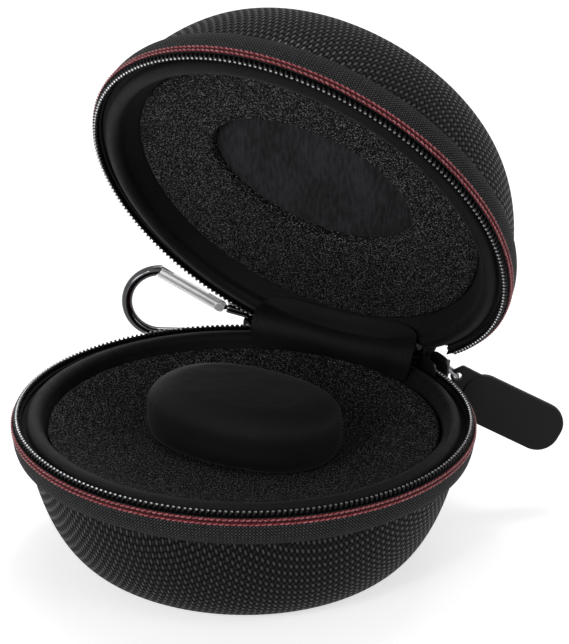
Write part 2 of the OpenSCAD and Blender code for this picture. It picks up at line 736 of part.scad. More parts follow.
base_cover();
base_shell();
base_lining();
base_rim_band();
base_zip_tape();
base_zip_teeth();
base_stitching();
base_foam();
hinge_tape();
hinge_lining();
clip_ribbon();
lid_cover();
lid_shell();
lid_lining();
lid_rim_band();
lid_zip_tape();
lid_zip_teeth();
lid_stitching();
lid_foam();
lid_pocket_panel();
zip_slider();
slider_link();
zip_pull();
watch_pillow();
clip_body();
clip_gate();
clip_rivet();
clip_spring();
zip_stops();
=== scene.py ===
"""Looks of the round zipped watch case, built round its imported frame.

Shapes are worked out in millimetres, in the frame of the CAD model, and scaled to metres when a
mesh is made. A point of one half of the case is given as x, y and its depth below that half's rim
plane, as if the case were shut; the lid is then turned open about the hinge line.
"""

import json
import math

import bmesh
import bpy
import numpy as np
from mathutils import Matrix, Quaternion, Vector


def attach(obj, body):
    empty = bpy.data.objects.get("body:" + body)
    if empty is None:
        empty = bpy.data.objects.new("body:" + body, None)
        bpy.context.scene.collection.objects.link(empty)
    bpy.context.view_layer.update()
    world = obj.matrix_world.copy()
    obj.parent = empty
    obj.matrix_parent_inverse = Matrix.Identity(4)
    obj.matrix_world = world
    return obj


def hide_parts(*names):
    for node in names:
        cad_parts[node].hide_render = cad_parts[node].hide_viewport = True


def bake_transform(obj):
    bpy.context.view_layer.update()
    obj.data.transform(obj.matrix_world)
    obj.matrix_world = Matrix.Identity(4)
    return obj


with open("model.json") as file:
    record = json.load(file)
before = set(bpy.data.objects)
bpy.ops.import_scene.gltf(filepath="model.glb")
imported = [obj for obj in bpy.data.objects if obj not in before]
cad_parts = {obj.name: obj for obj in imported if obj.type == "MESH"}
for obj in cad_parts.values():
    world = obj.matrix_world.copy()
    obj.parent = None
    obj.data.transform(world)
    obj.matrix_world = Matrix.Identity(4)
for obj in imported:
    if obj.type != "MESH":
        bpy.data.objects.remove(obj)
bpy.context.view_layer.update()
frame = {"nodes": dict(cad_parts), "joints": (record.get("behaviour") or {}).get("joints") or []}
scene = bpy.context.scene

MM = 0.001
hinge = next(j for j in frame["joints"] if j["name"] == "lid_hinge")
HINGE_Y, RIM_Z = hinge["pos_m"][1] / MM, hinge["pos_m"][2] / MM
LID_OPEN = -hinge["range_deg"][0]

RING = 58.0  # circle that the zip stands on
ZIP_FROM, ZIP_TO = 28.5, 331.5  # bearings of the zip's ends, clockwise from the back
NOTCH = 49.0  # angle of the faces that the two rims turn to each other at the back
BAND_OUT, BAND_H, BAND_TOP, BAND_IN = 59.1, 9.9, 1.65, 56.9
UNDER_MIDDLE = 1.05  # map distance of the middle between the rows of stitches, where the thread under them is painted darkest as shade
COIL_STEP, COIL_STEPS = 0.3, 14  # map length of a step of the coil's wire, and steps in a turn
COIL_PITCH, COIL_WIRE, COIL_HALF_W, COIL_HALF_H = 1.38, 0.33, 0.47, 0.5
COIL_DEPTH = 1.08  # from the rim plane to the middle of the coil
LID_COIL_FROM = 37.2  # bearing where the lid's coil comes out of the slider's hollow
STITCH_PITCH, STITCH_HALF, STITCH_R, STITCH_ROWS = 1.4, 0.56, 0.22, (2.15, 3.3)
LIP_MID, LIP_HALF, LIP_ROOT, LIP_DROP = 53.5, 2.1, 2.6, 0.5
SKIRT, TUCK = 9.3, 7.5
POCKET_AT, POCKET_TURN = (3.6, -7.2), 17.0  # middle of the lid's oval pocket, and how far it is turned


# ---------- camera ----------

def make_camera():
    """Camera at the photograph's viewing angle."""
    data = bpy.data.cameras.new("Camera")
    camera = bpy.data.objects.new("Camera", data)
    scene.collection.objects.link(camera)
    scene.camera = camera
    data.sensor_fit = "AUTO"
    data.sensor_width = 36
    data.lens = 127.56
    data.clip_start, data.clip_end = 0.05, 20
    forward = Vector((-0.45842, 0.80669, -0.37295))
    roll = Quaternion((0, 0, 1), math.radians(1.04))
    camera.rotation_mode = "QUATERNION"
    camera.rotation_quaternion = forward.to_track_quat("-Z", "Y") @ roll
    camera.location = (0.27210, -0.45875, 0.27829)


make_camera()


# ---------- shader arithmetic ----------

class Value:
    """A shader socket that takes part in Python arithmetic."""

    def __init__(self, finish, socket):
        self.finish, self.socket = finish, socket

    def math(self, operation, *terms):
        return self.finish.node("ShaderNodeMath", {"operation": operation}, dict(enumerate(terms)))

    def __add__(self, other):
        return self.math("ADD", self, other)

    def __sub__(self, other):
        return self.math("SUBTRACT", self, other)

    def __rsub__(self, other):
        return self.math("SUBTRACT", other, self)

    def __mul__(self, other):
        return self.math("MULTIPLY", self, other)

    def __pow__(self, other):
        return self.math("POWER", self, other)

    def __mod__(self, other):
        return self.math("FLOORED_MODULO", self, other)

    __radd__, __rmul__ = __add__, __mul__

    def sin(self):
        return self.math("SINE", self)

    def floor(self):
        return self.math("FLOOR", self)

    def fract(self):
        return self.math("FRACT", self)

    def above(self, low, high):
        """0 below low, 1 above high, and smooth between them."""
        inputs = {"Value": self, "From Min": low, "From Max": high}
        return self.finish.node("ShaderNodeMapRange", {"interpolation_type": "SMOOTHSTEP"}, inputs)


class Finish:
    """One material of the case, built from the standard surface shader."""

    def __init__(self, slot, **constants):
        self.slot = slot
        self.material = bpy.data.materials.new(f"{slot}_finish")
        self.material.use_nodes = True
        self.tree = self.material.node_tree
        self.surface = self.tree.nodes["Principled BSDF"]
        for name, value in constants.items():
            self.surface.inputs[name.replace("_", " ").title().replace("Ior", "IOR")].default_value = value

    def node(self, kind, settings=None, inputs=None, out=0):
        made = self.tree.nodes.new(kind)
        for name, value in (settings or {}).items():
            setattr(made, name, value)
        for name, value in (inputs or {}).items():
            self.feed(made.inputs[name], value)
        return Value(self, made.outputs[out])

    def feed(self, socket, value):
        if isinstance(value, Value):
            self.tree.links.new(value.socket, socket)
        else:
            socket.default_value = value

    def vary(self, **values):
        """Feeds what changes over the surface."""
        for name, value in values.items():
            self.feed(self.surface.inputs[name.replace("_", " ").title()], value)

    def place(self):
        """Where a point of the surface is, in metres."""
        return self.node("ShaderNodeTexCoord", out="Object")

    def cloth(self, cell):
        """The two directions of the cloth, in cells."""
        parts = self.node("ShaderNodeSeparateXYZ", inputs={0: self.flat_map()})
        across, along = parts, Value(self, parts.socket.node.outputs[1])
        return across * (1 / (cell * MM)), along * (1 / (cell * MM))

    def noise(self, size, detail=2.0, stretch=(1, 1, 1), where=None, roughness=0.5):
        """Even noise from 0 to 1 whose lumps are about size millimetres across."""
        spot = self.node("ShaderNodeVectorMath", {"operation": "MULTIPLY"},
                         {0: where or self.place(), 1: [s / (size * MM) for s in stretch]})
        return self.node("ShaderNodeTexNoise", inputs={
            "Vector": spot, "Scale": 1.0, "Detail": detail, "Roughness": roughness})

    def flat_map(self):
        """Where a point of the surface is in the piece's cloth map."""
        return self.node("ShaderNodeUVMap", {"uv_map": "cloth"})

    def mix(self, share, low, high):
        """A colour between two colours."""
        colours = {0: share}
        for index, colour in ((6, low), (7, high)):
            colours[index] = colour if isinstance(colour, Value) else (*colour, 1)
        return self.node("ShaderNodeMix", {"data_type": "RGBA"}, colours, out=2)

    def relief(self, height, depth, strength=1.0):
        """Lets light catch a height from 0 to 1, whose full range is depth millimetres."""
        self.vary(normal=self.node("ShaderNodeBump", inputs={
            "Height": height, "Distance": depth * MM, "Strength": strength}))


def plain_weave(finish, cell, strands, turn=0.0, long=1.0):
    """A plain weave: its height, which threads lie on top, and the strands in them."""
    a, b = finish.cloth(cell)
    b = b * (1 / long)
    if turn:
        c, s = math.cos(math.radians(turn)), math.sin(math.radians(turn))
        a, b = a * c + b * s, b * c - a * s
    warp = (a.floor() + b.floor()) % 2.0
    across, along = (a.fract() * math.pi).sin(), (b.fract() * math.pi).sin()
    warp_height = (across ** 0.8) * (along * 0.5 + 0.5)
    weft_height = (along ** 0.8) * (across * 0.5 + 0.5)
    turns = 2 * math.pi * strands
    strand = (a * turns).sin() * warp + (b * turns).sin() * (1 - warp)
    height = warp_height * warp + weft_height * (1 - warp)
    return height, warp, strand


# ---------- finishes, one for each slot ----------

def ballistic_cloth():
    finish = Finish("ballistic_cloth", specular_ior_level=0.05, coat_roughness=0.28)
    height, warp, strand = plain_weave(finish, 1.0, 3, long=1.25)
    wear = finish.noise(1.7, 3, roughness=0.6)
    crown_and_painted_highlight = height.above(0.4, 0.95)
    # Painted highlight and shade: the base colour is lightest on the threads' crowns and on the threads
    # lying on top, and near black in the gaps between them.
    shade = crown_and_painted_highlight * (warp * 0.7 + 0.3) * (wear * 1.3 + 0.1) * (strand * 0.25 + 0.8)
    finish.vary(base_color=finish.mix(shade, (0.0012, 0.0012, 0.0014), (0.06, 0.06, 0.063)),
                roughness=0.6 + wear * 0.1, coat_weight=crown_and_painted_highlight * (warp * 0.35 + 0.04))
    finish.relief(height + strand * 0.06, 0.45)
    return finish


def band_cloth():
    finish = Finish("band_cloth", specular_ior_level=0.06)
    height, warp, _ = plain_weave(finish, 0.6, 1, turn=45)
    wear = finish.noise(1.3, 3, roughness=0.6)
    # Painted highlight and shade: the base colour is lighter on the threads' crowns and on the threads
    # lying on top, and near black in the gaps.
    shade = height.above(0.4, 0.9) * (wear * 1.4 + 0.1) * (warp * 0.5 + 0.5)
    finish.vary(base_color=finish.mix(shade, (0.0015, 0.0015, 0.0017), (0.088, 0.088, 0.091)),
                roughness=0.6 + wear * 0.1)
    finish.relief(height, 0.2)
    return finish


def foam_shell():
    finish = Finish("foam_shell", roughness=0.9, specular_ior_level=0.1)
    grain = finish.noise(0.5, 2)
    finish.vary(base_color=finish.mix(grain, (0.01, 0.01, 0.01), (0.03, 0.03, 0.03)))
    finish.relief(grain, 0.1)
    return finish


def lining_cloth():
    finish = Finish("lining_cloth", specular_ior_level=0.09, sheen_weight=0.05, sheen_roughness=0.35)
    height, _, _ = plain_weave(finish, 0.42, 1, turn=30)
    wrinkle = finish.noise(6, 3, stretch=(1, 1, 0.5))
    # The base colour is lighter on the weave's crowns, a painted highlight, and on the rises of the
    # wrinkles.
    shade = wrinkle * 0.5 + height * 0.5
    finish.vary(base_color=finish.mix(shade, (0.001, 0.001, 0.0011), (0.0062, 0.0062, 0.0066)),
                roughness=0.4 + wrinkle * 0.14)
    finish.relief(height * 0.2 + wrinkle, 0.35)
    return finish


def zip_tape():
    finish = Finish("zip_tape", roughness=0.8, specular_ior_level=0.05)
    height, _, _ = plain_weave(finish, 0.4, 1, turn=30)
    # Painted highlight and shade: the base colour is lighter on the threads' crowns than in the gaps.
    finish.vary(base_color=finish.mix(height, (0.001, 0.001, 0.001), (0.006, 0.006, 0.006)))
    finish.relief(height, 0.1)
    return finish


def zip_teeth():
    """Black nylon; the top of each turn of the coil gets a bright, partly metallic colour as a painted
    glint.
    """
    finish = Finish("zip_teeth", specular_ior_level=0.1, roughness=0.3, coat_roughness=0.12)
    _, b = finish.cloth(COIL_STEP * COIL_STEPS)
    top = (b * (2 * math.pi) + math.pi / 2).sin()
    painted_crest_glint = top.above(0.9, 1.0)
    # Painted glint: the top of each turn is bright in the base colour and partly metallic.
    finish.vary(base_color=finish.mix(painted_crest_glint, (0.0012, 0.0012, 0.0013), (0.55, 0.55, 0.57)),
                metallic=painted_crest_glint * 0.8, coat_weight=top.above(0.3, 0.9) * 0.7)
    return finish


def red_thread():
    """The stitches are red with pale painted glints; the thread under the two rows, mapped far back, is
    painted dark as their shade, darkest along the middle between the rows.
    """
    finish = Finish("red_thread", specular_ior_level=0.25, coat_roughness=0.3)
    a, b = finish.cloth(0.2)
    ply = ((a + b * 2.0) * math.pi).sin() * 0.5 + 0.5
    stitch = b.above(-100, -50)
    fleck = finish.noise(0.7, 2)
    # Painted glints: pale pink patches in the stitches' base colour.
    glint = (ply * 0.4 + fleck * 0.6).above(0.5, 0.72)
    lit = finish.mix(glint, (0.19, 0.009, 0.016), (0.75, 0.3, 0.32))
    # Painted shade: the thread under the stitches is dark, and darkest along the line between the two
    # rows.
    from_middle = b + 50 / 0.2 - UNDER_MIDDLE / 0.2
    painted_groove_shade = (from_middle * from_middle).above(0.3, 3.0)
    bed_with_painted_shade = finish.mix(painted_groove_shade * (fleck * 0.8 + 0.2), (0.012, 0.0003, 0.001), (0.2, 0.005, 0.014))
    finish.vary(base_color=finish.mix(stitch, bed_with_painted_shade, lit), roughness=0.8 - stitch * 0.4,
                coat_weight=stitch * (fleck * 0.8 + 0.1))
    finish.relief(ply, 0.05)
    return finish


def sponge_foam():
    finish = Finish("sponge_foam", specular_ior_level=0.06)
    cells = finish.noise(0.4, 2, roughness=0.75)
    patch = finish.noise(3, 2)
    # Pale specks on the highest cells: pale foam cells, and painted glints as well.
    speck_and_painted_glint = cells.above(0.545, 0.66)
    # Painted shade: the low cells, the pits between the foam's bumps, are made near black.
    painted_pit_shade = 1 - cells.above(0.38, 0.5)
    body = finish.mix(patch, (0.0045, 0.0045, 0.0047), (0.0075, 0.0075, 0.0078))
    body_with_painted_pit_shade = finish.mix(painted_pit_shade * 0.85, body, (0.0012, 0.0012, 0.0012))
    finish.vary(base_color=finish.mix(speck_and_painted_glint, body_with_painted_pit_shade, (0.24, 0.24, 0.245)), roughness=0.85 - speck_and_painted_glint * 0.25)
    finish.relief(cells, 0.4)
    return finish


def ribbon():
    finish = Finish("ribbon", roughness=0.7, specular_ior_level=0.12)
    a, _ = finish.cloth(0.32)
    rib = (a * (2 * math.pi)).sin() * 0.5 + 0.5
    # Painted highlight and shade: the base colour is lighter on the tops of the ribs than between them.
    finish.vary(base_color=finish.mix(rib, (0.002, 0.002, 0.0022), (0.014, 0.014, 0.015)))
    finish.relief(rib, 0.1)
    return finish


def zip_metal():
    finish = Finish("zip_metal", specular_ior_level=0.3, coat_weight=0.25, coat_roughness=0.2)
    grain = finish.noise(1.5, 3)
    finish.vary(base_color=finish.mix(grain, (0.002, 0.002, 0.002), (0.008, 0.008, 0.008)),
                roughness=0.3 + grain * 0.15)
    finish.relief(finish.noise(0.3, 1), 0.02)
    return finish


def link_steel():
    finish = Finish("link_steel", metallic=1.0)
    scratch = finish.noise(0.5, 3, stretch=(1, 1, 0.2))
    finish.vary(base_color=finish.mix(scratch, (0.1, 0.1, 0.11), (0.36, 0.36, 0.38)),
                roughness=0.3 + scratch * 0.2)
    return finish


def velvet():
    finish = Finish("velvet", specular_ior_level=0.08, sheen_weight=0.1, sheen_roughness=0.4)
    flat = finish.flat_map()
    nap = finish.noise(0.9, 3, stretch=(1, 0.16, 1), where=flat)
    sweep = finish.noise(9, 3, stretch=(1, 0.3, 1), where=flat)
    shade = nap * 0.55 + sweep * 0.45
    pile = finish.mix(shade.above(0.3, 0.72), (0.0038, 0.0039, 0.0044), (0.03, 0.0305, 0.034))
    finish.vary(base_color=pile, roughness=0.78 + nap * 0.15)
    finish.relief(nap, 0.14)
    return finish


def pull_rubber():
    finish = Finish("pull_rubber", specular_ior_level=0.16)
    grain = finish.noise(0.3, 2)
    cloud = finish.noise(7, 2)
    black = finish.mix(cloud * 0.4 + grain * 0.6, (0.003, 0.003, 0.0032), (0.0078, 0.0078, 0.0082))
    finish.vary(base_color=black, roughness=0.48 + grain * 0.14)
    finish.relief(grain, 0.035)
    return finish


def pillow_cloth():
    finish = Finish("pillow_cloth", specular_ior_level=0.09, sheen_weight=0.06, sheen_roughness=0.45)
    nap = finish.noise(0.35, 3)
    crease = finish.noise(10, 3)
    black = finish.mix(nap * 0.5 + crease * 0.5, (0.0013, 0.0013, 0.0014), (0.0065, 0.0065, 0.007))
    finish.vary(base_color=black, roughness=0.55 + crease * 0.15)
    finish.relief(crease + nap * 0.1, 0.5)
    return finish


def bright_metal(slot, low, high, rough, metallic=1.0):
    finish = Finish(slot, metallic=metallic)
    scratch = finish.noise(2.5, 4, stretch=(1, 1, 0.3))
    smudge = finish.noise(6, 2)
    finish.vary(base_color=finish.mix(smudge, low, high), roughness=rough + scratch * 0.08)
    finish.relief(scratch, 0.008)
    return finish


FINISHES = {f.slot: f.material for f in (
    ballistic_cloth(), band_cloth(), foam_shell(), lining_cloth(), zip_tape(), zip_teeth(),
    red_thread(), sponge_foam(), ribbon(), zip_metal(), link_steel(), velvet(), pull_rubber(),
    pillow_cloth(),
    bright_metal("clip_metal", (0.045, 0.045, 0.047), (0.09, 0.09, 0.094), 0.07),
    bright_metal("gate_metal", (0.88, 0.88, 0.89), (0.95, 0.95, 0.96), 0.3, metallic=0.6),
    bright_metal("spring_steel", (0.4, 0.4, 0.41), (0.55, 0.55, 0.56), 0.3))}


# ---------- mesh tools ----------

def grid_faces(rows, cols, wrap_rows=False, wrap_cols=False):
    """Faces of a grid of points that are stored row by row."""
    i = np.arange(rows if wrap_rows else rows - 1)[:, None]
    j = np.arange(cols if wrap_cols else cols - 1)[None, :]
    near, far = i * cols, (i + 1) % rows * cols
    corners = (near + j, near + (j + 1) % cols, far + (j + 1) % cols, far + j)
    return np.stack(np.broadcast_arrays(*corners), -1).reshape(-1, 4).tolist()


def end_faces(sides, last):
    """The faces that close a tube's two ends, from the first point of its last ring."""
    return [list(range(sides)), list(range(last, last + sides))]


def build(name, points, faces, flat=None):
    """A mesh object from points in millimetres, with the cloth map that its finish reads."""
    mesh = bpy.data.meshes.new(name)
    mesh.from_pydata((np.asarray(points, float).reshape(-1, 3) * MM).tolist(), [], faces)
    layer = mesh.uv_layers.new(name="cloth")
    corner = np.zeros(len(mesh.loops), int)
    mesh.loops.foreach_get("vertex_index", corner)
    if flat is None:
        flat = np.asarray(points, float).reshape(-1, 3)[:, :2]
    layer.data.foreach_set("uv", (np.asarray(flat, float).reshape(-1, 2)[corner] * MM).ravel())
    obj = bpy.data.objects.new(name, mesh)
    scene.collection.objects.link(obj)
    close_up(obj)
    return obj


def close_up(obj, cut=None):
    """Joins points that meet, cuts the piece off at a plane, and turns its faces outwards."""
    work = bmesh.new()
    work.from_mesh(obj.data)
    bmesh.ops.remove_doubles(work, verts=work.verts, dist=2e-6)
    if cut:
        point, outward = cut
        made = bmesh.ops.bisect_plane(work, geom=work.verts[:] + work.edges[:] + work.faces[:],
                                      plane_co=point, plane_no=outward, clear_outer=True, dist=1e-7)
        edges = [e for e in made["geom_cut"] if isinstance(e, bmesh.types.BMEdge) and e.is_boundary]
        bmesh.ops.triangle_fill(work, use_beauty=True, use_dissolve=False, edges=edges)
    bmesh.ops.recalc_face_normals(work, faces=work.faces)
    work.to_mesh(obj.data)
    work.free()


def with_modifier(obj, kind, **settings):
    """Applies one modifier to the piece's mesh."""
    modifier = obj.modifiers.new(kind, kind)
    for name, value in settings.items():
        setattr(modifier, name, value)
    graph = bpy.context.evaluated_depsgraph_get()
    changed = bpy.data.meshes.new_from_object(obj.evaluated_get(graph))
    obj.modifiers.clear()
    obj.data = changed
    return obj


def carve(obj, *cutters):
    """Takes the cutters' shapes out of the piece."""
    for cutter in cutters:
        with_modifier(obj, "BOOLEAN", object=cutter, operation="DIFFERENCE", solver="EXACT")
    return obj


def discard(*objects):
    for obj in objects:
        bpy.data.objects.remove(obj)


def dress(obj, slot, body=None, stands_for=(), sharp=40):
    """Gives the piece its finish and its body, and hides the CAD nodes that it stands for."""
    obj.data.materials.clear()
    obj.data.materials.append(FINISHES[slot])
    obj.data.shade_smooth()
    obj.data.set_sharp_from_angle(angle=math.radians(sharp))
    if body:
        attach(obj, body)
    if stands_for:
        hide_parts(*stands_for)
    return obj


def lengths(line):
    """How far each point of a line lies along it."""
    return np.concatenate([[0], np.cumsum(np.linalg.norm(np.diff(line, axis=0), axis=1))])


def resample(line, step):
    """The same line with points evenly spaced along it."""
    line = np.asarray(line, float)
    run = lengths(line)
    count = max(int(round(run[-1] / step)), 2)
    spots = np.linspace(0, run[-1], count + 1)
    return np.stack([np.interp(spots, run, line[:, k]) for k in range(line.shape[1])], -1)


def rounded(line, times=2, closed=False):
    """The line with its corners cut round."""
    line = np.asarray(line, float)
    for _ in range(times):
        after = np.roll(line, -1, axis=0) if closed else line[1:]
        before = line if closed else line[:-1]
        cut = np.stack([before * 0.75 + after * 0.25, before * 0.25 + after * 0.75], 1)
        cut = cut.reshape(-1, line.shape[1])
        line = cut if closed else np.concatenate([line[:1], cut, line[-1:]])
    return line


def inward(line, by):
    """The line moved to its right, which for a bowl's side is towards the inside."""
    line = np.asarray(line, float)
    run = np.gradient(line, axis=0)
    run /= np.linalg.norm(run, axis=1)[:, None]
    moved = line + by * np.stack([-run[:, 1], run[:, 0]], -1)
    moved[:, 0] = np.maximum(moved[:, 0], 0)
    return moved


def folded(x, y, up, share):
    """Points of the shut case, turned open by their share of the lid's swing."""
    angle = np.radians(-LID_OPEN) * share
    c, s = np.cos(angle), np.sin(angle)
    behind = y - HINGE_Y
    return np.stack([x + 0 * share, HINGE_Y + behind * c - up * s, RIM_Z + behind * s + up * c], -1)


class Half:
    """One half of the case."""

    def __init__(self, body, is_lid, bowl_r, flat_r, depth, powers, shell_t):
        self.body, self.is_lid, self.bowl_r, self.depth = body, is_lid, bowl_r, depth
        u = np.radians(np.linspace(0, 90, 600))
        side = flat_r + (bowl_r - flat_r) * np.cos(u).clip(0) ** (2 / powers[0])
        down = SKIRT + (depth - SKIRT) * np.sin(u) ** (2 / powers[1])
        line = np.stack([side, down], -1)
        self.line = resample(np.concatenate([[[bowl_r, TUCK]], line, [[0, depth]]]), 1.1)
        self.lining_out = 1.0 + shell_t + 0.1
        self.lining_in = self.lining_out + 0.7
        self.foam_out = self.lining_in + 0.1

    def place(self, points):
        x, y, depth = np.moveaxis(np.asarray(points, float), -1, 0)
        return folded(x, y, depth if self.is_lid else -depth, 1.0 if self.is_lid else 0.0)

    def layer(self, by):
        """The bowl's side profile, moved in by a distance."""
        return inward(self.line, by)

    def notch(self):
        """The plane that this half's rim ends at, behind the hinge line."""
        angle = math.radians(NOTCH)
        slope = self.place([[0, HINGE_Y, 0], [0, HINGE_Y - math.sin(angle), math.cos(angle)]])
        return slope[0] * MM, slope[0] - slope[1]

    def turn(self, name, rings, flat=None, steps=300, span=None, cut=False, map_from=0.0):
        """A solid turned from a closed outline of rings: radius and depth, or x radius, y radius, depth
        and how far the ring has gone over from the case's middle to the pocket's."""
        rings = np.asarray(rings, float)
        if rings.shape[1] == 2:
            rings = np.concatenate([rings[:, [0, 0, 1]], 0 * rings[:, :1]], 1)
        rings = np.concatenate([rings, rings[:1]])
        start, end = span or (0, 360)
        bearing = np.radians(np.linspace(start, end, steps + 1))[:, None]
        x, y, over = rings[:, 0] * np.sin(bearing), rings[:, 1] * np.cos(bearing), rings[:, 3]
        c, s = np.cos(np.radians(POCKET_TURN) * over), np.sin(np.radians(POCKET_TURN) * over)
        points = np.stack([x * c - y * s + POCKET_AT[0] * over, x * s + y * c + POCKET_AT[1] * over,
                           rings[:, 2] + 0 * bearing], -1)
        if flat is None:
            run = map_from + lengths(rings)
            around = bearing * rings[:, 0].max()
            flat = np.stack(np.broadcast_arrays(around, run), -1)
        else:
            out = np.append(flat, flat[:1])
            flat = np.stack([out * np.sin(bearing), out * np.cos(bearing)], -1)
        rows, cols = steps + 1, len(rings)
        faces = grid_faces(rows, cols)
        if span:
            last = (rows - 1) * cols
            faces += [list(range(cols - 1)), list(range(last + cols - 2, last - 1, -1))]
        obj = build(name, self.place(points), faces, flat)
        if cut:
            close_up(obj, self.notch())
        return obj


base = Half("base", False, 55.2, 20.0, 40.0, (4.3, 1.22), 3.2)
lid = Half("lid", True, 56.2, 26.0, 36.0, (3.3, 1.2), 6.0)
HALVES = (base, lid)


# ---------- room in the lid for the parked slider ----------

def slider_room():
    """The round hollow about the hinge line that the slider stands in as the lid swings."""
    sides = 72
    turns = np.linspace(0, 2 * np.pi, sides, endpoint=False)
    rings = [np.stack([0 * turns + x, HINGE_Y + r * np.cos(turns), RIM_Z + r * np.sin(turns)], -1)
             for x, r in ROOM]
    last = (len(rings) - 1) * sides
    faces = grid_faces(len(rings), sides, wrap_cols=True) + end_faces(sides, last)
    return build("slider_room", np.concatenate(rings), faces)


ROOM = ((23.8, 6.2), (32.2, 6.2), (32.3, 4.4), (34.3, 4.4))  # along the hinge line, and radius
room = slider_room()


# ---------- covers, bands and linings ----------

def make_cover(half):
    outer = half.line
    inner = half.layer(0.9)[::-1]
    run = lengths(outer[::-1])[::-1]
    spread = (outer[:, 0] + run) / 2
    obj = half.turn(f"{half.body}_woven_cover", np.concatenate([outer, inner]),
                    flat=np.concatenate([spread, spread[::-1]]), cut=True)
    return dress(obj, "ballistic_cloth", half.body, [f"{half.body}_cover"])


def make_band(half):
    foot = half.bowl_r
    outer = rounded([[58.9, BAND_TOP + 0.1], [58.95, BAND_TOP], [59.05, BAND_TOP + 0.1],
                     [BAND_OUT, BAND_TOP + 1.0], [BAND_OUT, BAND_TOP + 3.0], [BAND_OUT - 0.2, 6.6],
                     [BAND_OUT - 0.8, 8.4],
                     [foot + 1.35, BAND_H - 0.2], [foot + 0.9, BAND_H], [foot + 0.25, BAND_H - 0.1]], 2)
    inner = [[foot + 0.25, TUCK - 0.5], [BAND_IN, TUCK - 1.8], [BAND_IN, BAND_TOP + 0.4],
             [58.9, BAND_TOP + 0.4]]
    obj = half.turn(f"{half.body}_woven_band", np.concatenate([outer, inner]), cut=True)
    if half.is_lid:
        carve(obj, room)
    return dress(obj, "band_cloth", half.body, [f"{half.body}_rim_band"])


def make_lining(half):
    """The satin lining, with its rolled and padded lip."""
    u = np.radians(np.linspace(0, 180, 22))
    lip = np.stack([LIP_MID + LIP_HALF * np.cos(u), LIP_ROOT - (LIP_ROOT - LIP_DROP) * np.sin(u)], -1)
    inner = half.layer(half.lining_in)
    outer = half.layer(half.lining_out)[::-1]
    joint = rounded([lip[-1], [lip[-1][0] - 0.1, LIP_ROOT + 1.5], inner[0]], 2)[1:-1]
    profile = np.concatenate([lip, joint, inner, outer, [[LIP_MID - LIP_HALF + 0.7, LIP_ROOT]]])
    obj = half.turn(f"{half.body}_satin_lining", profile, cut=True)
    if half.is_lid:
        carve(obj, room)
    return dress(obj, "lining_cloth", half.body, [f"{half.body}_lining"], sharp=60)


for half in HALVES:
    make_cover(half)
    make_band(half)
    make_lining(half)
    shell = frame["nodes"][f"{half.body}_shell"]
    shell.data.materials.clear()
    shell.data.materials.append(FINISHES["foam_shell"])


# ---------- zip and stitching ----------

def in_room(x, y, depth):
    """Where a point of the lid lies in the slider's hollow."""
    reach = np.interp(x, [x for x, r in ROOM], [r for x, r in ROOM])
    return (np.hypot(y - HINGE_Y, depth) < reach + 0.2) & (x > ROOM[0][0] - 0.2) & (x < ROOM[-1][0] + 0.2)


def make_tape(half):
    obj = half.turn(f"{half.body}_tape", [[58.15, 0.9], [58.15, 5.4], [57.85, 5.4], [57.85, 0.9]],
                    span=(ZIP_FROM, ZIP_TO), steps=260)
    if half.is_lid:
        carve(obj, room)
    return dress(obj, "zip_tape", half.body, [f"{half.body}_zip_tape"])


def tube_points(path, radius, sides, closed=False):
    """Rings of points round a path, whose radius may change along it."""
    path = np.asarray(path, float)
    run = (np.roll(path, -1, 0) - np.roll(path, 1, 0)) if closed else np.gradient(path, axis=0)
    run /= np.linalg.norm(run, axis=1)[:, None]
    side = np.zeros_like(path)
    side[0] = np.cross(run[0], [0.31, 0.17, 0.93])
    side[0] /= np.linalg.norm(side[0])
    for k in range(1, len(path)):
        side[k] = side[k - 1] - run[k] * (side[k - 1] @ run[k])
        side[k] /= np.linalg.norm(side[k])
    if closed:
        last = side[-1] - run[0] * (side[-1] @ run[0])
        slip = math.atan2(np.cross(last, side[0]) @ run[0], last @ side[0])
        turn = (slip * np.arange(len(path)) / len(path))[:, None]
        side = side * np.cos(turn) + np.cross(run, side) * np.sin(turn)
    other = np.cross(run, side)
    angle = np.linspace(0, 2 * np.pi, sides, endpoint=False)
    circle = np.cos(angle)[None, :, None] * side[:, None] + np.sin(angle)[None, :, None] * other[:, None]
    return path[:, None] + circle * np.broadcast_to(np.asarray(radius, float), len(path))[:, None, None]


def tube(name, path, radius, sides=20, closed=False, place=None):
    """A round bar along a path, rounded over at its ends where it is open."""
    rings = tube_points(path, radius, sides, closed)
    run = np.arange(len(rings))[:, None] * COIL_STEP + 0 * np.arange(sides)
    flat = np.stack([np.broadcast_to(np.arange(sides) * 0.3, run.shape), run], -1)
    faces = grid_faces(len(rings), sides, wrap_rows=closed, wrap_cols=True)
    if not closed:
        faces += end_faces(sides, (len(rings) - 1) * sides)
    return build(name, place(rings) if place else rings, faces, flat)


def make_coil(half):
    """The zip's nylon coil: a flattened wire helix sewn along the edge of the tape."""
    start = LID_COIL_FROM if half.is_lid else ZIP_FROM + 0.3
    end = ZIP_TO - 0.3
    turns = int(math.radians(end - start) * RING / COIL_PITCH)
    step = np.linspace(0, turns, turns * COIL_STEPS + 1)
    bearing = np.radians(start + (end - start) * step / turns)
    phase = 2 * np.pi * step
    out = RING + COIL_HALF_W * np.sin(phase)
    depth = COIL_DEPTH - COIL_HALF_H * np.sign(np.cos(phase)) * np.abs(np.cos(phase)) ** 0.7
    path = np.stack([out * np.sin(bearing), out * np.cos(bearing), depth], -1)
    obj = tube(f"{half.body}_zip_coil", path, COIL_WIRE, sides=6, place=half.place)
    return dress(obj, "zip_teeth", half.body, [f"{half.body}_zip_teeth"], sharp=80)


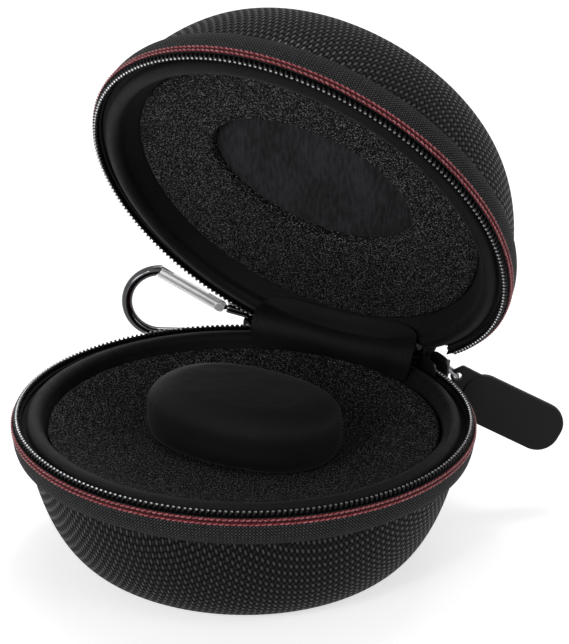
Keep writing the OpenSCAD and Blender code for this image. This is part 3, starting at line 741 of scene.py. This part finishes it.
def make_stitches(half):
    """Two rows of short stitches in red thread."""
    rings, sides = 7, 8
    count = int(math.radians(ZIP_TO - ZIP_FROM - 1) * BAND_OUT / STITCH_PITCH)
    along = np.linspace(-1, 1, rings)
    points, flat = [], []
    for row, depth in enumerate(STITCH_ROWS):
        for k in range(count):
            middle = ZIP_FROM + 0.5 + (k + 0.5 + 0.5 * row) * (ZIP_TO - ZIP_FROM - 1) / count
            if middle > ZIP_TO - 1:
                continue
            bearing = np.radians(middle) + along * STITCH_HALF / BAND_OUT
            out = BAND_OUT + 0.16 - 0.3 * np.abs(along) ** 3
            path = np.stack([out * np.sin(bearing), out * np.cos(bearing), depth + 0.14 * along], -1)
            if half.is_lid and in_room(*path[rings // 2]):
                continue
            points.append(tube_points(path, STITCH_R * (1 - 0.35 * np.abs(along) ** 3), sides))
            flat.append(np.stack(np.meshgrid(np.arange(sides) * 0.2, along + k * STITCH_PITCH), -1))
    size = rings * sides
    local = grid_faces(rings, sides, wrap_cols=True) + end_faces(sides, size - sides)
    faces = [[index + n * size for index in face] for n in range(len(points)) for face in local]
    obj = build(f"{half.body}_red_stitches", half.place(np.concatenate(points).reshape(-1, 3)), faces,
                np.concatenate(flat).reshape(-1, 2))
    return dress(obj, "red_thread", half.body, [f"{half.body}_stitching"], sharp=80)


def make_under_thread(half):
    """The band of dark red bobbin thread between the stitches, painted darker as their shade."""
    outline = [[58.9, 1.85], [59.1, 1.87], [59.14, 2.1], [59.16, 3.0], [59.14, 3.6], [58.9, 3.65]]
    obj = half.turn(f"{half.body}_under_thread", outline, span=(ZIP_FROM + 0.5, ZIP_TO - 0.5), steps=260,
                    map_from=-50)
    if half.is_lid:
        carve(obj, room)
    return dress(obj, "red_thread", half.body, sharp=80)


for half in HALVES:
    make_tape(half)
    make_coil(half)
    make_under_thread(half)
    make_stitches(half)


# ---------- foam beds, pocket and pillow ----------

def make_base_foam():
    edge = base.layer(base.foam_out)
    under = edge[edge[:, 1] > 5.0]
    r = np.linspace(0, 1, 40)
    edge_r = under[0][0]
    top = np.stack([(edge_r - 0.5) * r, 10.0 - 6.0 * ((r - 0.58).clip(0) / 0.42) ** 1.3], -1)
    top = np.concatenate([top, [[edge_r - 0.15, 4.15]]])
    outline = np.concatenate([top, under])
    obj = base.turn("base_foam_bed", outline, flat=outline[:, 0])
    dress(obj, "sponge_foam", "base", ["base_foam"], sharp=60)


def make_lid_foam():
    under = lid.layer(lid.foam_out)
    under = under[under[:, 1] > 7.6]
    under = np.concatenate([under[:, [0, 0, 1]], 0 * under[:, :1]], 1)
    lean = np.linspace(0, 1, 30)[:, None]
    face = np.array([[47.4, 47.4, 7, 0]]) * (1 - lean) + np.array([[28.6, 22.35, 7, 1]]) * lean
    wall = [[28.25, 22.0, 7.1, 1], [28.05, 21.8, 7.5, 1], [28.0, 21.75, 8.5, 1]]
    floor = np.array([[28.0, 21.75, 10, 1]]) * np.linspace(1, 0, 12)[:, None]
    floor[:, 2:] = 10, 1
    floor[-1, 3] = 0
    edge = [[under[0][0], under[0][0], 7.55, 0], [47.9, 47.9, 7.15, 0]]
    under[-1, 3] = 0
    rings = np.concatenate([under[::-1], edge, face, wall, floor])
    obj = lid.turn("lid_foam_bed", rings, flat=rings[:, 0])
    dress(obj, "sponge_foam", "lid", ["lid_foam"], sharp=60)


def make_pocket_panel():
    """The velvet panel, a little proud in the middle."""
    r = np.linspace(0, 1, 18)
    face = np.stack([27.6 * r, 21.35 * r, 9.1 + 0.2 * r ** 4, 0 * r + 1], -1)
    rings = np.concatenate([face, [[27.8, 21.55, 9.5, 1], [27.8, 21.55, 9.88, 1], [0, 0, 9.88, 1]]])
    obj = lid.turn("velvet_panel", rings, flat=rings[:, 0])
    dress(obj, "velvet", "lid", ["lid_pocket_panel"])


def pillow_ring(share, sides):
    """Outline of the pillow at one share of its height."""
    if share < 0.25:
        size = 0.94 + 0.06 * math.sin(math.pi / 2 * share / 0.25)
    elif share < 0.6:
        size = 1.0
    else:
        size = math.sqrt(max(1 - ((share - 0.6) / 0.415) ** 2, 0)) * 0.42 + 0.58
    a = np.linspace(0, 2 * np.pi, sides, endpoint=False)
    x = np.abs(np.cos(a)) ** 0.86 * np.sign(np.cos(a)) * 27 * size
    y = np.abs(np.sin(a)) ** 0.86 * np.sign(np.sin(a)) * 18.5 * (1 - (1 - size) * 1.15)
    return x, y


def make_pillow():
    low, height = 30.3, 17.2
    sides, rows = 96, 26
    rings = []
    for share in np.linspace(0, 1, rows):
        x, y = pillow_ring(share, sides)
        rings.append(np.stack([x * 0.975, y * 0.965, low + 0.3 + (height - 1.6) * share + 0 * x], -1))
    points = np.concatenate([*rings, [[0, 0, low + 0.3], [0, 0, low + height - 1.0]]])
    faces = grid_faces(rows, sides, wrap_cols=True)
    last = (rows - 1) * sides
    faces += [[rows * sides, (k + 1) % sides, k] for k in range(sides)]
    faces += [[rows * sides + 1, last + k, last + (k + 1) % sides] for k in range(sides)]
    obj = build("watch_pillow_cloth", points, faces)
    swell(obj, voxel=1.5, most=1.2, floor=low)
    with_modifier(obj, "SUBSURF", levels=1)
    dress(obj, "pillow_cloth", "pillow", ["watch_pillow"], sharp=70)


def swell(obj, voxel, most, floor):
    """Blows the piece up as stuffed cloth, no further than most millimetres."""
    with_modifier(obj, "REMESH", mode="VOXEL", voxel_size=voxel * MM)
    before = np.array([v.co for v in obj.data.vertices])
    cloth = obj.modifiers.new("Cloth", "CLOTH")
    cloth.settings.use_pressure = True
    cloth.settings.uniform_pressure_force = 4
    cloth.settings.effector_weights.gravity = 0
    scene.frame_start, scene.frame_end = 1, 20
    for step in range(1, 21):
        scene.frame_set(step)
    graph = bpy.context.evaluated_depsgraph_get()
    swollen = obj.evaluated_get(graph).to_mesh()
    after = np.array([v.co for v in swollen.vertices])
    obj.modifiers.clear()
    scene.frame_set(1)
    move = after - before
    far = np.linalg.norm(move, axis=1)[:, None]
    move *= np.minimum(1, most * MM / np.maximum(far, 1e-9))
    points = before + move
    points[:, 2] = np.maximum(points[:, 2], floor * MM)
    obj.data.vertices.foreach_set("co", points.ravel())
    obj.data.update()


make_base_foam()
make_lid_foam()
make_pocket_panel()
make_pillow()


# ---------- cloth across the hinge ----------

def hinge_cloth(name, out, thick, half_arc, half_height, ends, reach, lean, slot, stands_for,
                columns=48, rows=60):
    """A strip glued to both halves at the back, whose points turn more with the lid the higher they lie.

    The blend works that share out again from where a point is, so it is solved for here."""
    middle = math.radians(LID_OPEN / 2)
    along = np.linspace(-1, 1, columns)[:, None]
    up = np.linspace(-1, 1, rows)[None, :] * half_height * (1 - ends * along ** 4) ** 0.5
    bearing = np.radians(half_arc) * along
    faces_of = []
    for radius in (out, out - thick):
        r = radius - lean * np.maximum(up - 2.3, 0) + 0.12 * np.sin(11 * bearing + 0.5 * up)
        sheet = (r * np.sin(bearing), r * np.cos(bearing), up)
        x, y, h = (np.broadcast_to(v, (columns, rows)) for v in sheet)
        low, high = np.zeros(x.shape), np.ones(x.shape)
        for _ in range(40):
            share = (low + high) / 2
            angle = middle - np.radians(LID_OPEN) * share
            high_up = (y - HINGE_Y) * np.sin(angle) + h * np.cos(angle)
            t = (0.5 + high_up / (2 * reach)).clip(0, 1)
            more = t * t * (3 - 2 * t) > share
            low, high = np.where(more, share, low), np.where(more, high, share)
        faces_of.append(folded(x, y, h, share))
    points = np.stack(faces_of, 1)
    points = np.concatenate([points[:, 0], points[:, 1, ::-1]], 1)
    count = points.shape[1]
    faces = grid_faces(columns, count, wrap_cols=True)
    last = (columns - 1) * count
    strip = range(rows - 1)
    faces += [[k, k + 1, count - 2 - k, count - 1 - k] for k in strip]
    faces += [[last + k, last + k + 1, last + count - 2 - k, last + count - 1 - k] for k in strip]
    ups = np.concatenate([up, up[:, ::-1]], 1)
    flat = np.stack(np.broadcast_arrays(bearing * out, ups), -1)
    obj = build(name, points, faces, flat)
    dress(obj, slot, None, stands_for, sharp=60)
    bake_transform(obj)


hinge_cloth("hinge_tape_cloth", 60.1, 0.6, 25, 9.6, 0.0, 0.9, 0.0, "band_cloth", ["hinge_tape"])
hinge_cloth("hinge_lining_cloth", 51.1, 0.5, 29, 6.5, 0.99, 6.4, 0.6, "lining_cloth", ["hinge_lining"])


# ---------- flat pieces with rounded edges ----------

def slab(name, outline, thick, bevel, place, steps=4):
    """A flat piece from its outline, anticlockwise, with rounded edges."""
    outline = np.asarray(outline, float)
    run = np.roll(outline, -1, 0) - np.roll(outline, 1, 0)
    run /= np.linalg.norm(run, axis=1)[:, None]
    inside = np.stack([-run[:, 1], run[:, 0]], -1)
    rings = []
    for turn in np.linspace(0, np.pi, 2 * steps + 1):
        inset = bevel * (1 - abs(math.sin(turn)))
        level = math.cos(turn)
        height = (thick / 2 - bevel) * np.sign(level) * (abs(level) > 0.01) + bevel * level
        ring = outline + inside * inset
        rings.append(np.concatenate([ring, np.full((len(ring), 1), height)], 1))
    count = len(outline)
    points = np.concatenate(rings)
    faces = grid_faces(len(rings), count, wrap_cols=True)
    faces += end_faces(count, (len(rings) - 1) * count)
    return build(name, place(points), faces, points[:, :2])


def frame_place(matrix):
    """Placement by a matrix in millimetres."""
    def place(points):
        points = np.asarray(points, float)
        return points @ np.array(matrix.to_3x3()).T + np.array(matrix.translation)
    return place


def joined(name, *parts):
    """Parts that touch, made one closed piece."""
    first, *others = parts
    for other in others:
        with_modifier(first, "BOOLEAN", object=other, operation="UNION", solver="EXACT")
    discard(*others)
    first.name = name
    return first


def turned(axis, degrees):
    return Matrix.Rotation(math.radians(degrees), 4, axis)


def moved(x, y, z):
    return Matrix.Translation((x, y, z))


# ---------- slider, link and pull ----------

PARK = 29.5
PIN_R = 63.04
LINK_Z = -1.4
LINK_HALF = 1.45
LINK_BACK, LINK_FRONT = 1.05 / math.cos(math.radians(40)), 2.75 / math.cos(math.radians(40))
at_slider = moved(0, 0, RIM_Z) @ turned("Z", -PARK)
at_link = at_slider @ moved(0, PIN_R, LINK_Z) @ turned("Z", 90 - 31) @ turned("Y", 40)


def make_slider():
    def plate(name, inner, outer, half_l, half_h, waist):
        shoulder = half_l * 0.55
        corner = rounded([[-half_l, -half_h], [shoulder, -half_h], [half_l, -half_h * waist],
                          [half_l, half_h * waist], [shoulder, half_h], [-half_l, half_h]], 3, closed=True)

        def place(points):
            angle = points[:, 0] / RING
            r = (inner + outer) / 2 + points[:, 2]
            bent = np.stack([r * np.sin(angle), r * np.cos(angle), points[:, 1]], -1)
            return frame_place(at_slider)(bent)
        outline = resample(np.concatenate([corner, corner[:1]]), 0.35)[:-1]
        return slab(name, outline, outer - inner, 0.24, place)

    outer = plate("outer_plate", 60.0, 60.7, 4.1, 3.15, 0.72)
    inner = plate("inner_plate", 56.25, 56.8, 4.0, 2.6, 0.72)
    fin_outline = [[-2.6, 56.5], [-0.1, 56.5], [-0.1, 60.3], [-2.6, 60.3]]
    fin = slab("fin", rounded(fin_outline, 2, closed=True), 0.38, 0.08, frame_place(at_slider))
    lugs = []
    for low in (-3.1, 0.1):
        at_lug = at_slider @ moved(0, PIN_R, low + 0.35)
        lugs.append(slab("lug", lug_outline(), 0.7, 0.18, frame_place(at_lug)))
    pin_line = [[0, PIN_R, z] for z in np.linspace(-2.8, 0.5, 9)]
    pin = tube("pin", pin_line, 0.5, 20, place=frame_place(at_slider))
    obj = joined("zip_slider_body", outer, inner, fin, *lugs, pin)
    dress(obj, "zip_metal", "slider", ["zip_slider"], sharp=35)


def lug_outline():
    """A lug's outline: round about the pin and straight back to the plate."""
    turn = np.radians(np.linspace(0, 180, 16))
    nose = np.stack([0.62 * np.cos(turn), 0.62 * np.sin(turn)], -1)
    return np.concatenate([nose, [[-0.7, -1.2], [-0.85, -2.6], [0.85, -2.6], [0.7, -1.2]]])


def make_link():
    corner = 0.62
    turn = np.radians(np.linspace(0, 90, 7))
    path = []
    for x, y, start in ((LINK_FRONT, LINK_HALF, 0), (-LINK_BACK, LINK_HALF, 90),
                        (-LINK_BACK, -LINK_HALF, 180), (LINK_FRONT, -LINK_HALF, 270)):
        a = turn + math.radians(start)
        cx, cy = x - corner * np.sign(x), y - corner * np.sign(y)
        path += [[cx + corner * math.cos(t), cy + corner * math.sin(t), 0] for t in a]
    path = resample(path + path[:1], 0.25)[:-1]
    obj = tube("link_ring", path, 0.4, 16, closed=True, place=frame_place(at_link))
    dress(obj, "link_steel", "link", ["slider_link"], sharp=70)


def make_pull():
    """The soft moulded pull, with its flared neck and a bare face."""
    at_pull = at_link @ moved(LINK_FRONT, 0, 0) @ turned("Y", 26 - 40) @ turned("X", 90)
    half, r, start, length, drop = 7.0, 6.0, 2.9, 30.0, 3.0
    outline = []
    for x, y, begin in ((start + length - r, half - r, 0), (start + r, half - r, 90),
                        (start + r, r - half, 180), (start + length - r, r - half, 270)):
        outline += [[x + r * math.cos(t), y - drop + r * math.sin(t)]
                    for t in np.radians(np.linspace(begin, begin + 90, 14))]
    outline = resample(outline + outline[:1], 0.6)[:-1]
    tab = slab("tab", outline, 2.2, 0.62, frame_place(at_pull), steps=5)
    end = 2.0
    nose = [[end * math.cos(t), end * math.sin(t)] for t in np.radians(np.linspace(150, 236, 12))]
    neck_line = [[start + r * 0.7, -drop - 4.62], [start + r * 0.7, half - drop - 0.9],
                 [0.3, half - drop - 0.72], [-0.25, half - drop - 0.95]]
    neck = slab("neck", resample(np.array(neck_line + nose + neck_line[:1]), 0.4)[:-1], 1.6, 0.45,
                frame_place(at_pull), steps=4)
    drill = tube("drill", [[0, 0, z] for z in (-3, 0, 3)], 1.15, 32, place=frame_place(at_pull))
    obj = carve(joined("rubber_pull", tab, neck), drill)
    discard(drill)
    dress(obj, "pull_rubber", "pull", ["zip_pull"], sharp=35)


make_slider()
make_link()
make_pull()


# ---------- spring clip and its ribbon ----------

WIDE_R, NARROW_R, SPINE = 9.4, 3.4, 22.8
CLIP_FACE, CLIP_BEARING, CLIP_R, RIBBON_Z = 29.6, -28.8, 66.7, 36.7
at_clip = (turned("Z", -CLIP_BEARING) @ moved(0, CLIP_R, RIBBON_Z) @ turned("Z", CLIP_BEARING + CLIP_FACE)
           @ turned("X", 90) @ moved(-(SPINE + NARROW_R), WIDE_R - NARROW_R, 0))
NARROW_AT = np.array([SPINE, NARROW_R - WIDE_R])
PIVOT = np.array([SPINE - 6.3, 2 * NARROW_R - WIDE_R + 1.9])
NOSE = np.array([-0.3, WIDE_R - 0.2])
GATE_RUN = NOSE - PIVOT
GATE_L = math.hypot(*GATE_RUN)
GATE_TURN = math.degrees(math.atan2(GATE_RUN[1], GATE_RUN[0]))
GATE_REACH = math.hypot(*(PIVOT - [0, WIDE_R]))  # from the rivet to the gate's free end
NOSE_GAP, NOSE_L = 0.3, 1.4


def gate_sweep(low, high):
    """The ring between two radii about the gate's rivet, where the gate meets the clip's nose."""
    turn = np.radians(GATE_TURN + np.linspace(-20, 20, 41))
    arc = np.stack([np.cos(turn), np.sin(turn)], -1)
    outline = PIVOT + np.concatenate([high * arc, low * arc[::-1]])
    return slab("gate_sweep", outline, 8, 0.02, frame_place(at_clip))


def make_clip():
    off = PIVOT - NARROW_AT
    tail_angle = math.atan2(off[1], off[0]) - math.acos(NARROW_R / math.hypot(*off))
    arc = [[WIDE_R * math.cos(t), WIDE_R * math.sin(t)] for t in np.radians(np.linspace(90, 270, 60))]
    narrow = [NARROW_AT + NARROW_R * np.array([math.cos(t), math.sin(t)])
              for t in np.linspace(-math.pi / 2, tail_angle, 40)]
    tail = PIVOT - narrow[-1]
    end = narrow[-1] + tail * (1 - 2.5 / math.hypot(*tail))
    path = resample(np.concatenate([[[NOSE_L, WIDE_R]], arc, narrow, [end]]), 0.5)
    path = np.concatenate([path, np.zeros((len(path), 1))], 1)
    radius = np.full(len(path), 1.5)
    radius[-1] = 1.3
    bar = tube("bar", path, radius, 28, place=frame_place(at_clip))
    sweep = gate_sweep(GATE_REACH - 5, GATE_REACH + NOSE_GAP)
    carve(bar, sweep)
    discard(sweep)
    tongues = []
    for name, spot, turn in (("nose_tongue", (0, WIDE_R), GATE_TURN + 180),
                             ("pivot_tongue", PIVOT, math.degrees(math.atan2(-tail[1], -tail[0])))):
        where = at_clip @ moved(*spot, 0) @ turned("Z", turn)
        outline = [[-0.9, -0.8], [2.6, -0.8], [2.6, 0.8], [-0.9, 0.8]]
        tongues.append(slab(name, rounded(outline, 2, closed=True), 1.3, 0.15, frame_place(where)))
    obj = joined("clip_bar", bar, *tongues)
    dress(obj, "clip_metal", "clip", ["clip_body"], sharp=35)


def make_gate():
    length, r = GATE_L + 2.5, 1.7
    at_gate = at_clip @ moved(*PIVOT, 0) @ turned("Z", GATE_TURN)
    ends = np.array([[-r, 1.25], [-r + 0.12, 1.5], [-r + 0.4, 1.7]])
    other = np.array([[length - 0.4, 1.7], [length - 0.12, 1.5], [length, 1.25]])
    line = np.concatenate([ends, [[x, r] for x in np.linspace(-1, length - 0.8, 12)], other])
    obj = tube("gate_bar", [[x, 0, 0] for x in line[:, 0]], line[:, 1], 32, place=frame_place(at_gate))
    square = [[-4.0, -3], [4.2, -3], [4.2, 3], [-4.0, 3]]
    slots = [slab("slot", np.array(square), 1.6, 0.02, frame_place(at_gate)),
             slab("slot", np.array(square) + [GATE_L + 0.2, 0], 1.6, 0.02, frame_place(at_gate)),
             gate_sweep(GATE_REACH, GATE_REACH + 5)]
    carve(obj, *slots)
    discard(*slots)
    dress(obj, "gate_metal", "gate", ["clip_gate"], sharp=35)


def make_ribbon():
    """A short ribbon loop round the clip's narrow end, whose two layers lie together at the band."""
    eye, tail = 2.35, CLIP_R - BAND_OUT - 0.2
    round_eye = [[eye * math.cos(t), eye * math.sin(t)] for t in np.radians(np.linspace(-50, 230, 40))]
    path = [[0.42, -tail]] + [[0.42, -tail + 2.2]] + round_eye + [[-0.42, -tail + 2.2], [-0.42, -tail]]
    path = resample(rounded(path, 2), 0.35)
    run = np.gradient(path, axis=0)
    run /= np.linalg.norm(run, axis=1)[:, None]
    normal = np.stack([run[:, 1], -run[:, 0]], -1)
    section = rounded([[-0.38, -1.2], [0.38, -1.2], [0.38, 1.2], [-0.38, 1.2]], 2, closed=True)
    rings = np.stack([np.concatenate([path + normal * d, np.full((len(path), 1), z)], 1)
                      for d, z in section], 1)
    count = len(section)
    faces = grid_faces(len(path), count, wrap_cols=True)
    faces += end_faces(count, (len(path) - 1) * count)
    flat = np.stack(np.broadcast_arrays(np.arange(len(path))[:, None] * 0.35, section[:, 1][None]), -1)
    where = turned("Z", -CLIP_BEARING) @ moved(0, CLIP_R, RIBBON_Z)
    obj = build("ribbon_loop", frame_place(where)(rings), faces, flat)
    dress(obj, "ribbon", "base", ["clip_ribbon"], sharp=60)


make_clip()
make_gate()
make_ribbon()
for node, slot in (("clip_rivet", "gate_metal"), ("clip_spring", "spring_steel"),
                   ("zip_stops", "zip_metal")):
    part = frame["nodes"][node]
    part.data.materials.clear()
    part.data.materials.append(FINISHES[slot])
discard(room)


# ---------- floor and light ----------

def seen_share(tree):
    """1 for rays that show the background straight or mirrored, and 0 for rays that only light things."""
    path = tree.nodes.new("ShaderNodeLightPath")
    share = path.outputs["Is Camera Ray"]
    for name in ("Is Glossy Ray", "Is Transmission Ray"):
        most = tree.nodes.new("ShaderNodeMath")
        most.operation = "MAXIMUM"
        tree.links.new(share, most.inputs[0])
        tree.links.new(path.outputs[name], most.inputs[1])
        share = most.outputs[0]
    return share


def make_floor():
    """A pale floor that reads white where nothing shades it."""
    material = bpy.data.materials.new("floor")
    material.use_nodes = True
    tree = material.node_tree
    surface = tree.nodes["Principled BSDF"]
    surface.inputs["Base Color"].default_value = (0.86, 0.86, 0.86, 1)
    surface.inputs["Roughness"].default_value = 0.9
    surface.inputs["Specular IOR Level"].default_value = 0.1
    surface.inputs["Emission Color"].default_value = (1, 1, 1, 1)
    lift = tree.nodes.new("ShaderNodeMath")
    lift.operation = "MULTIPLY"
    tree.links.new(seen_share(tree), lift.inputs[0])
    lift.inputs[1].default_value = 0.62
    tree.links.new(lift.outputs[0], surface.inputs["Emission Strength"])
    sides = 64
    turn = np.linspace(0, 2 * np.pi, sides, endpoint=False)
    mesh = bpy.data.meshes.new("floor")
    mesh.from_pydata([(4 * math.cos(t), 4 * math.sin(t), 0) for t in turn], [], [list(range(sides))])
    mesh.materials.append(material)
    floor = bpy.data.objects.new("floor", mesh)
    scene.collection.objects.link(floor)


def make_world(level):
    world = bpy.data.worlds.new("studio")
    scene.world = world
    world.use_nodes = True
    tree = world.node_tree
    background = tree.nodes["Background"]
    background.inputs["Color"].default_value = (1, 1, 1, 1)
    blend = tree.nodes.new("ShaderNodeMapRange")
    tree.links.new(seen_share(tree), blend.inputs["Value"])
    blend.inputs["To Min"].default_value = level
    blend.inputs["To Max"].default_value = 1.0
    tree.links.new(blend.outputs[0], background.inputs["Strength"])


def make_lamp(name, spot, aim, size, power):
    data = bpy.data.lights.new(name, "AREA")
    data.shape = "RECTANGLE"
    data.size, data.size_y = size
    data.energy = power
    lamp = bpy.data.objects.new(name, data)
    scene.collection.objects.link(lamp)
    lamp.location = spot
    lamp.rotation_mode = "QUATERNION"
    lamp.rotation_quaternion = (Vector(aim) - Vector(spot)).to_track_quat("-Z", "Y")


make_floor()
make_world(0.25)
make_lamp("overhead", (-0.1, 0.25, 0.9), (0, 0, 0.05), (0.7, 0.6), 2.2)
make_lamp("overhead_spark", (-0.2, 0.3, 0.85), (0, 0, 0.05), (0.12, 0.12), 0.9)
make_lamp("front_key", (-0.15, -0.95, 0.3), (0, 0, 0.08), (0.4, 0.3), 3.2)
make_lamp("front_spark", (0.05, -0.9, 0.5), (0, 0, 0.08), (0.1, 0.1), 1.0)
make_lamp("right_side", (0.8, -0.15, 0.45), (0, 0, 0.05), (0.3, 0.5), 1.2)
scene.view_settings.view_transform = "Standard"
